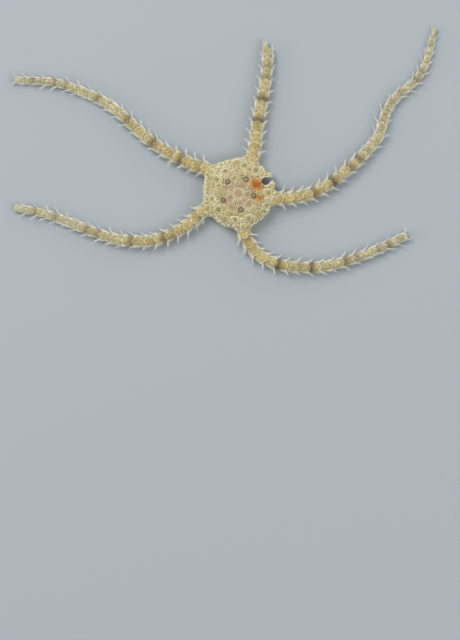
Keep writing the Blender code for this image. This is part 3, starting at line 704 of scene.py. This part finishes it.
def arm_spines(number, arm, finish):
    """All the spines of one arm. Each stands at the far edge of a side plate and points outwards along the
    arm, more closely along it towards the end. Their angle sways along each side of the arm."""
    draw = np.random.default_rng(200 + number)
    _, free_length, short_length, _, _ = ARM_ENDS[number - 1]
    joints, total = arm.joints[ROOTS_INSIDE:], len(arm.joints) - 1
    near, pace = joints[:-1], np.diff(joints)
    rows = np.arange(len(near))
    i, arc, side = [a.ravel() for a in np.meshgrid(rows, SPINE_LEVELS, (-1.0, 1.0), indexing="ij")]
    d = near[i] + pace[i] * (SPINE_PLACE + draw.uniform(-0.04, 0.04, len(i)))
    turned = np.clip((d - ARM_START) / SPINE_TURN_SPAN, 0, 1)
    sway = SPINE_SWAY * np.sin(d / SPINE_SWAY_LENGTH + number + 2.4 * side)
    angle = SPINE_ANGLE_BASE + (SPINE_ANGLE_END - SPINE_ANGLE_BASE) * turned + sway
    angle = np.maximum(angle + draw.uniform(-8, 8, len(i)), 8.0)
    length = np.interp(d / MM, *SPINE_LENGTHS) * MM * draw.uniform(0.72, 1.12, len(i))
    short = ease((d - arm.end + short_length * MM) / (short_length * MM))
    length = length * (1 - (1 - END_SPINE_SHARE) * short)
    regular = np.stack([d, arc, side, length, angle], -1)[d < arm.end - free_length * MM]
    single = [(arm.end - before * MM, level, side, length * MM, angle)
              for owner, before, level, side, length, angle in END_SPINES if owner == number]
    d, arc, side, length, angle = np.concatenate([regular, np.array(single).reshape(-1, 5)]).T

    half = arm_width(d) / 2
    sx, sz = np.interp(arc, SECTION_ARC, SECTION_X), np.interp(arc, SECTION_ARC, SECTION_Z)
    up = sz * half * 0.97
    climb = np.interp(arc, *SPINE_CLIMB) + draw.uniform(-5, 5, len(d))
    climb = np.maximum(np.sin(np.radians(climb)), (SPINE_FLOOR - up) / length)
    forward = arm.forward(d)
    left = leftwards(forward) * side[:, None]
    angle = np.radians(angle)[:, None]
    level = forward * np.cos(angle) + left * np.sin(angle)
    way = raised(level * np.sqrt(1 - climb**2)[:, None], climb)
    root = raised(arm.place(d) + left * (sx * half * 0.97)[:, None], up)
    foot, length = root - way * SPINE_ROOT, length + SPINE_ROOT

    t, outline = np.array(SPINE_SHAPE)
    size = SPINE_THIN_SHARE + (1 - SPINE_THIN_SHARE) * half / (FULL_WIDTH / 2)
    size = size * draw.uniform(0.88, 1.15, len(d))
    bend = raised(level * (length * draw.uniform(-0.05, 0.16, len(d)))[:, None], 0.0)
    points = tubes(foot, way, length, t, outline * MM * size[:, None], bend, SPINE_SIDES)
    points[..., 2] = np.maximum(points[..., 2], 0.02 * MM)
    columns = skin_columns(np.array([[SPINE_PLACE]]))[0]
    place = np.interp(arc, columns, np.arange(len(columns))) / (2 * len(columns) - 2)
    along = np.interp(d, arm.joints, np.arange(total + 1)) / total
    roots = np.stack([np.where(side > 0, place, 1 - place), along], -1)
    values = {"tip": t[None, :, None]}
    mesh_piece(f"arm_{number}_spines", points, finish, values, roots, SPINE_TUFT)


def from_nearest_arm(theta, azimuths):
    """Signed angle from the nearest arm's line."""
    apart = (theta[..., None] - np.array(azimuths) + math.pi) % (2 * math.pi) - math.pi
    nearest = np.abs(apart).argmin(-1)
    return np.take_along_axis(apart, nearest[..., None], -1)[..., 0]


def midway(azimuths, i):
    """The direction midway between one arm and the next."""
    return azimuths[i] + math.remainder(azimuths[(i + 1) % len(azimuths)] - azimuths[i], math.tau) / 2


def profile(squareness, rise, rows):
    """Half a superellipse from the pole to the margin, in even steps: shares of the radius."""
    t = np.linspace(0.0, math.pi / 2, 3001)
    x, z = [np.abs(part) ** (2 / squareness) for part in (np.sin(t), np.cos(t))]
    return along_evenly(x * DISC_RADIUS, z * rise, rows)[0] / DISC_RADIUS


def marked_plates(azimuths):
    """Distance, direction, radius and kind of every plate with a place of its own on top of the disc."""
    draw = np.random.default_rng(7)
    plates = [(math.hypot(x, y) * MM, math.atan2(y, x), radius * MM, kind)
              for kind, group in MARKED_PLATES.items() for x, y, radius in group]
    for i, azimuth in enumerate(azimuths):
        for line, group in ((azimuth, PLATES_BY_AN_ARM), (midway(azimuths, i), PLATES_BETWEEN_ARMS)):
            for distance, turn, radius in np.array(group) * (MM, 1, MM):
                for way in (-1, 1) if turn else (1,):
                    angle = line + way * math.radians(turn)
                    near = min(math.hypot(distance * math.cos(angle) - r * math.cos(a),
                                          distance * math.sin(angle) - r * math.sin(a))
                               for r, a, _, _ in plates)
                    if near > PLATE_ROOM:
                        plates.append((distance, angle, radius * draw.uniform(0.9, 1.1), PLAIN))
    return [np.array(column) for column in zip(*plates)]


def fill_with_scales(spots, room_wanted, centres, radii):
    """Adds scales one by one where there is most room, until no spot has the room wanted. A scale's radius
    is a share of the distance to the nearest plate's edge."""
    draw = np.random.default_rng(8)
    room = np.full(len(spots), np.inf)
    for centre, radius in zip(centres, radii):
        room = np.minimum(room, np.linalg.norm(spots - centre, axis=1) - radius)
    centres, radii = list(centres), list(radii)
    while True:
        most = np.argmax(room / room_wanted)
        if room[most] < room_wanted[most]:
            return np.array(centres), np.array(radii)
        radius = min(room[most] * draw.uniform(*SCALE_SHARE), 1.4 * room_wanted[most])
        centres.append(spots[most])
        radii.append(radius)
        room = np.minimum(room, np.linalg.norm(spots - spots[most], axis=1) - radius)


def nearest_plates(spots, centres, radii):
    """For each spot: its plate, the distance from that plate's centre, and how far it is from another."""
    found = []
    for part in np.array_split(spots, 40):
        square = (part**2).sum(1)[:, None] + (centres**2).sum(1)[None] - 2 * part @ centres.T
        reach = np.sqrt(np.maximum(square, 0.0))
        beyond = reach - radii[None]
        order = np.argpartition(beyond, 1, axis=1)[:, :2]
        two = np.take_along_axis(beyond, order, 1)
        first = np.where(two[:, 0] <= two[:, 1], order[:, 0], order[:, 1])
        away = np.take_along_axis(reach, first[:, None], 1)[:, 0]
        found.append((first, away, np.abs(two[:, 1] - two[:, 0])))
    return [np.concatenate(column) for column in zip(*found)]


def disc_skin(azimuths, finish):
    """The disc: a dome above and a nearly flat underside, with corners that run out over the arms.

    A point's height comes from its share of the whole radius, as a superellipse. Each plate is the part of
    the surface that is nearest to it, with rounded corners, a groove along its edge, a low dome and a
    slight tilt. The margin is torn open along one line: the columns beside it run out to the hole's rim.
    The underside has the mouth's star and the slits beside the arms.
    """
    top_share = profile(TOP_SQUARENESS, DISC_TOP - DISC_MIDDLE, TOP_ROWS)[1:]
    low_share = profile(UNDERSIDE_SQUARENESS, DISC_MIDDLE - DISC_UNDERSIDE, UNDER_ROWS)[::-1][1:-1]
    share = np.concatenate([top_share, low_share])[:, None]
    on_top = np.arange(len(share))[:, None] < len(top_share)

    turn = np.linspace(0.0, math.pi, 2001)
    closeness = np.cumsum(1 + 2.0 * bump(turn, math.radians(9)))
    wall = (np.arange(TEAR_COLUMNS) + 0.5) / TEAR_COLUMNS
    even = (np.arange(DISC_COLUMNS // 2) + 0.5) / (DISC_COLUMNS // 2)
    half_turn = np.interp(even, closeness / closeness[-1], turn)
    half_turn = np.concatenate([wall * TEAR_TURN, TEAR_TURN + half_turn * (1 - TEAR_TURN / math.pi)])
    from_tear = np.concatenate([-half_turn[::-1], half_turn])[None, :]
    theta = TEAR_ANGLE + from_tear
    apart = from_nearest_arm(theta, azimuths)
    off = np.degrees(np.abs(apart))
    corner = 1 - ease((off - CORNER_HALF) / CORNER_FADE)
    ragged = 1 + 0.012 * np.sin(9 * theta + 1) + 0.008 * np.sin(23 * theta + 2)
    whole = DISC_RADIUS * (1 + FULLER_BY_AN_ARM * (1 - ease(off / 30))) * ragged + CORNER_REACH * corner
    whole = whole + sum(reach * bump(np.degrees(from_tear) - middle, half)
                        for middle, half, reach in TEAR_FLAPS)
    radius = TEAR_INNER + (whole - TEAR_INNER) * np.minimum(np.abs(from_tear) / TEAR_TURN, 1.0) ** 1.5
    r = share * radius
    inwards = np.minimum(r / whole, 1.0)
    sink = CORNER_SINK * corner * ease((r - 5 * MM) / (3.9 * MM)) * on_top
    power = np.where(on_top, TOP_SQUARENESS, UNDERSIDE_SQUARENESS)
    tall = np.where(on_top, DISC_TOP - DISC_MIDDLE, DISC_UNDERSIDE - DISC_MIDDLE)
    z = DISC_MIDDLE + tall * (1 - inwards**power) ** (1 / power) * (1 - sink)
    distances, halves = np.array(TEAR_HALF_WIDTH) * MM
    side_way = np.abs(from_tear) * r
    opened = np.interp(r, distances, halves) * (1 - ease(side_way / TEAR_SPREAD))
    warped = theta + np.sign(from_tear) * opened / np.maximum(r, MM)
    grid = np.stack([r * np.cos(warped), r * np.sin(warped), z], -1)
    level_part = inwards ** (power - 1) / whole
    steep_part = (1 - inwards**power) ** ((power - 1) / power) / tall
    out = unit(np.stack([level_part * np.cos(theta), level_part * np.sin(theta), steep_part + 0 * theta], -1))

    distance, angle, radii, kinds = marked_plates(azimuths)
    spots = grid.reshape(-1, 3)
    upper = grid[:len(top_share)].reshape(-1, 3)
    flat_places = np.stack([distance * np.cos(angle), distance * np.sin(angle)], -1)
    nearest = np.array([np.argmin(((upper[:, :2] - place) ** 2).sum(1)) for place in flat_places])
    beneath = np.where(on_top, 0.0, ease((1 - share) / 0.12)) + 0 * theta
    hidden = ~on_top & (r < 4.2 * MM)
    wanted = np.where(on_top & (share < 0.8), SCALE_ROOM_TOP, SCALE_ROOM_MARGIN) + 0 * theta
    wanted = np.where(hidden, 1.0, wanted).ravel()
    centres, radii = fill_with_scales(spots, wanted, upper[nearest], radii)
    kinds = np.concatenate([kinds, np.full(len(radii) - len(kinds), PLAIN)])
    own, away, gap = [a.reshape(r.shape) for a in nearest_plates(spots, centres, radii)]

    draw = np.random.default_rng(11)
    lean = draw.uniform(0, 2 * math.pi, len(radii))
    tint = draw.uniform(0, 1, len(radii))
    lift = draw.uniform(-0.02, 0.03, len(radii)) * MM
    from_centre = grid - centres[own]
    tilt = (from_centre[..., :2] * np.stack([np.cos(lean), np.sin(lean)], -1)[own]).sum(-1) / radii[own]
    edge = np.minimum(gap / 2, PLATE_ROUNDNESS * radii[own] - away)
    ramp = PLATE_EDGE + (PLATE_EDGE_BENEATH - PLATE_EDGE) * beneath
    relief = PLATE_RELIEF * (ease(edge / ramp) - 0.6)
    relief = relief + PLATE_DOME * (1 - (away / radii[own]) ** 2).clip(-0.5, 1)
    relief = relief + PLATE_TILT * np.clip(tilt, -1, 1) + lift[own]
    torn_wall = (np.abs(from_tear) < TEAR_TURN) & (share > 0.985)
    relief = relief * (1 - 0.5 * beneath) * ~(hidden | torn_wall)

    along = r * np.cos(apart)
    across = np.abs(r * np.sin(apart))
    half = arm_width(along) / 2
    slit = bump(across - half - ARM_SLIT_GAP, ARM_SLIT_WIDTH)
    slit = slit * ease((along - ARM_SLIT_FROM) / ARM_SLIT_FADE)
    slit = slit * (1 - ease((along - ARM_SLIT_TO) / ARM_SLIT_FADE)) * ~on_top
    swell = LOBE_HEIGHT * ease((across - half - 0.7 * MM) / (0.9 * MM))
    swell = swell * ease((r - 3.8 * MM) / (1.5 * MM))
    swell = swell * (1 - ease((share - 0.82) / 0.14)) * ~on_top
    into_end = np.clip((r - SLIT_END + SLIT_HALF_WIDTH) / SLIT_HALF_WIDTH, 0, 1)
    star = ease(0.5 + (SLIT_HALF_WIDTH * np.sqrt(1 - into_end**2) - across) / (0.12 * MM))
    star = star * (1 - ease((r - SLIT_END) / (0.1 * MM)))
    middle = 1 - ease((r - MOUTH_MIDDLE) / (0.2 * MM))
    opening = np.maximum(star, middle) * ~on_top
    relief = relief - ARM_SLIT_DEPTH * slit + swell * (1 - opening) - MOUTH_DEPTH * opening
    grid = grid + out * relief[..., None]
    grid[..., 2] = np.maximum(grid[..., 2], 0.05 * MM)

    kind = kinds[own]
    stain, flush = [
        sum(strength * bump(np.hypot(grid[..., 0] - x * MM, grid[..., 1] - y * MM), size * MM)
            for x, y, size, strength in marks)
        for marks in (STAINS, FLUSHES)
    ]
    torn = bump(side_way, 0.5 * MM) * ease((r - TEAR_INNER) / MM)
    margin = 0.45 * ease((share - 0.86) / 0.1) * (1 - corner)
    outlined = np.where(kinds == PLAIN, draw.uniform(0.35, 0.9, len(radii)), 1.0)
    spotted = (tint > 0.72)[own] & (kind == PLAIN) & (r > 3 * MM)
    heart = 1 - ease(away / radii[own] / 0.75)
    rim = bump(edge - 0.09 * MM, 0.14 * MM) * outlined[own]
    ring = bump(away - RING_PLACE * radii[own], RING_WIDTH)
    crease_shade_width = CREASE_SHADE + (CREASE_SHADE_BENEATH - CREASE_SHADE) * beneath
    values = {
        "rim": np.clip(rim + torn + margin, 0, 1) * (1 - 0.6 * beneath),
        # Painted shade in the grooves between plates, left out behind the jaws.
        "crease_shade": (1 - ease(edge / crease_shade_width)) * (1 - 0.6 * torn) * ~hidden,
        "tint": tint[own] * (0.35 + 0.65 * ease((r - 2.5 * MM) / (2 * MM))),
        "inner": 1 - ease((r - 2.8 * MM) / (2.6 * MM)),
        "olive": np.where(kind == SHIELD, 0.8, np.where(spotted, 0.5, 0.0)) * heart,
        "ring": np.where(kind == RINGED, np.clip(ring + 0.35 * heart, 0, 1), 0.0),
        "stain": np.clip(stain * 1.6, 0, 1) * on_top,
        "deep": ease((stain - 0.4) / 0.5) * 0.9 * on_top,
        "flush": np.clip(flush, 0, 1) * on_top,
        "gold": np.where(kind == ARM_LIKE, 1.0, 0.0) * heart,
        "under": beneath,
        # Painted shade: dark reddish brown in the mouth's star and middle, fainter in the slits beside the
        # arms.
        "mouth": np.clip(opening * 1.5 + slit * 0.6, 0, 1),
    }
    # The tear's wall is painted with shade: the grooves' brown and some of the mouth's dark.
    inside = {"rim": 0.2, "crease_shade": 0.8, "mouth": 0.4}
    values = {label: np.where(torn_wall, inside.get(label, 0.0), value)[None]
              for label, value in values.items()}
    piece = mesh_piece("disc_skin", grid[None], finish, values)
    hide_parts("disc")


def rounded_block(count_round, top_rows, bottom_rows, power):
    """Unit points of a superellipsoid, a ball pressed towards a box, in rows from the middle of the top
    over the side to the middle of the bottom."""
    top = np.arcsin(np.linspace(0.05, 0.97, top_rows) ** (1 / power))
    bottom = math.pi - np.arcsin(np.linspace(0.97, 0.03, bottom_rows) ** (1 / power))
    up = np.concatenate([top, np.linspace(top[-1], bottom[0], 10)[1:-1], bottom])[:, None]
    turn = (2 * math.pi * np.arange(count_round) / count_round)[None, :]
    squashed = [np.sign(v) * np.abs(v) ** power for v in (np.cos(turn), np.sin(turn), np.sin(up), np.cos(up))]
    cos_turn, sin_turn, sin_up, cos_up = squashed
    return np.stack([sin_up * cos_turn, sin_up * sin_turn, cos_up * np.ones_like(turn)], -1)


def jaw(number, angle, finish):
    """One jaw: a rounded wedge between two slits of the mouth. Grooves part its two halves and the pair of
    plates behind them, and a row of blunt papillae stands along each edge."""
    block = rounded_block(88, 6, 40, 0.45)
    reach = (JAW_INNER + JAW_OUTER) / 2 + block[..., 0] * (JAW_OUTER - JAW_INNER) / 2
    side = block[..., 1] * (reach * math.tan(math.pi / 5) - SLIT_HALF_WIDTH)
    lower_face = ease((-block[..., 2] - 0.55) / 0.35)
    parting = JAW_END + JAW_END_SLANT * np.abs(side)
    groove = np.maximum(bump(side, JAW_GROOVE_WIDTH), bump(reach - parting, JAW_GROOVE_WIDTH)) * lower_face
    dip = 0.06 * MM * ease((0.5 * MM - np.abs(reach - parting)) / (0.5 * MM)) * lower_face
    up = (JAW_BOTTOM + JAW_TOP) / 2 + block[..., 2] * (JAW_TOP - JAW_BOTTOM) / 2
    up = up + JAW_GROOVE_DEPTH * groove + dip
    way = np.array([math.cos(angle), math.sin(angle)])
    left = leftwards(way)
    points = raised(way * reach[..., None] + left * side[..., None], up)
    # Painted shade: darker the higher the jaw reaches into the mouth's pit and near its inner end; the
    # grooves are darkened as well.
    deep = ease((up - 0.35 * MM) / (0.7 * MM)) + (1 - ease((reach - JAW_INNER) / MM)) * 0.3
    values = {"deep": np.clip(deep, 0, 1)[None], "crease_shade": groove[None]}
    body = mesh_piece(f"jaw_{number}_plate", points[None], finish, values)
    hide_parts(f"jaw_{number}")

    draw = np.random.default_rng(400 + number)
    r = np.array(PAPILLA_PLACES) * MM
    edge = np.array([0.0] + [1.0, -1.0] * 4)
    side = edge * (r * math.tan(math.pi / 5) - SLIT_HALF_WIDTH - 0.04 * MM)
    foot = raised(way * r[:, None] + left * side[:, None], 0.34 * MM)
    point = -way[None] * np.where(edge == 0, 1.0, 0.35)[:, None] + left[None] * edge[:, None]
    point = unit(raised(point, -0.45))
    length = np.where(edge == 0, 0.5, 0.36) * MM * draw.uniform(0.9, 1.1, len(r))
    t = np.array((0.0, 0.3, 0.6, 0.8, 0.93, 1.0))
    outline = np.array((0.15, 0.15, 0.14, 0.115, 0.075, 0.02)) * MM
    shape = tubes(foot, point, length, t, np.repeat(outline[None], len(r), 0), np.zeros_like(foot), 10)
    shape[..., 2] = np.maximum(shape[..., 2], 0.03 * MM)
    # The papillae take a little of the mouth's painted shade.
    mesh_piece(f"jaw_{number}_papillae", shape, finish, {"deep": 0.12})


def oral_shields(azimuths, finish):
    """The five shields outside the jaws: low rounded plates on the underside, midway between the arms."""
    block = rounded_block(40, 6, 14, 0.75)
    shields = []
    for i in range(len(azimuths)):
        angle = midway(azimuths, i)
        way = np.array([math.cos(angle), math.sin(angle)])
        left = leftwards(way)
        narrowed = 1 + 0.22 * block[..., 0]
        flat = (way * (SHIELD_PLACE + block[..., :1] * SHIELD_HALF[0])
                + left * (block[..., 1] * narrowed)[..., None] * SHIELD_HALF[1])
        shields.append(raised(flat, 0.42 * MM + block[..., 2] * SHIELD_HALF[2]))
    middle = np.stack([0.1 + 0.2 * np.arange(len(azimuths)), np.full(len(azimuths), 0.5)], -1)
    mesh_piece("oral_shields", np.array(shields), finish, {"deep": 0.0}, middle, 0.18)


def floor():
    """A plain matt table top, mid-pale so that the white spines show."""
    made, tree, shader = new_finish("matt_table")
    feed(tree, shader, {"Base Color": linear("#B3B9BE"), "Roughness": 0.85})
    mesh = bpy.data.meshes.new("floor")
    reach = 3.0
    corners = [(-reach, -reach, 0), (reach, -reach, 0), (reach, reach, 0), (-reach, reach, 0)]
    mesh.from_pydata(corners, [], [(0, 1, 2, 3)])
    mesh.materials.append(made)
    new_object("floor", mesh)


def soft_light(name, place, size, power):
    """A square area light that faces the star."""
    lamp = bpy.data.lights.new(name, "AREA")
    lamp.size = size
    lamp.energy = power
    made = new_object(name, lamp)
    made.location = place
    made.rotation_euler = (-Vector(place)).to_track_quat("-Z", "Y").to_euler()


def studio():
    """Soft light from the upper left with a weaker fill, pale surroundings, and the photograph's camera."""
    soft_light("key", (-0.35, 0.4, 0.55), 0.4, 3.0)
    soft_light("fill", (0.5, -0.25, 0.45), 0.5, 1.6)
    soft_light("low_left", (-0.6, -0.15, 0.22), 0.3, 0.9)
    soft_light("low_right", (0.45, 0.5, 0.22), 0.3, 0.9)
    world = bpy.data.worlds.new("pale_room")
    world.use_nodes = True
    tree = world.node_tree
    feed(tree, tree.nodes["Background"], {"Color": linear("#DDE2E6"), "Strength": 0.45})
    scene = bpy.context.scene
    scene.world = world
    scene.view_settings.view_transform = "Standard"
    camera = new_object("camera", bpy.data.cameras.new("camera"))
    camera.data.sensor_width = SENSOR
    camera.data.lens = SENSOR * CAMERA_HEIGHT / (PHOTO_HEIGHT * PIXEL)
    camera.data.clip_start = 0.01
    right = (PHOTO_WIDTH / 2 - DISC_PIXEL[0]) * PIXEL
    down = (PHOTO_HEIGHT / 2 - DISC_PIXEL[1]) * PIXEL
    camera.location = (DISC_CENTRE[0] + right, DISC_CENTRE[1] - down, CAMERA_HEIGHT)
    scene.camera = camera


def main():
    studio()
    floor()
    arms = [Arm(route) for route in ARM_ROUTES]
    plates, spines = arm_plate_finish(), spine_finish()
    for number, arm in enumerate(arms, 1):
        nodes = [f"arm_{number}_length_{k + 1}" for k in range(ARM_LENGTHS[number - 1])]
        arm_skin(number, arm, nodes, plates)
        arm_spines(number, arm, spines)
    azimuths = [arm.azimuth for arm in arms]
    disc_skin(azimuths, disc_plate_finish())
    ivory = jaw_finish()
    for i in range(len(arms)):
        jaw(i + 1, midway(azimuths, i), ivory)
    oral_shields(azimuths, ivory)


main()
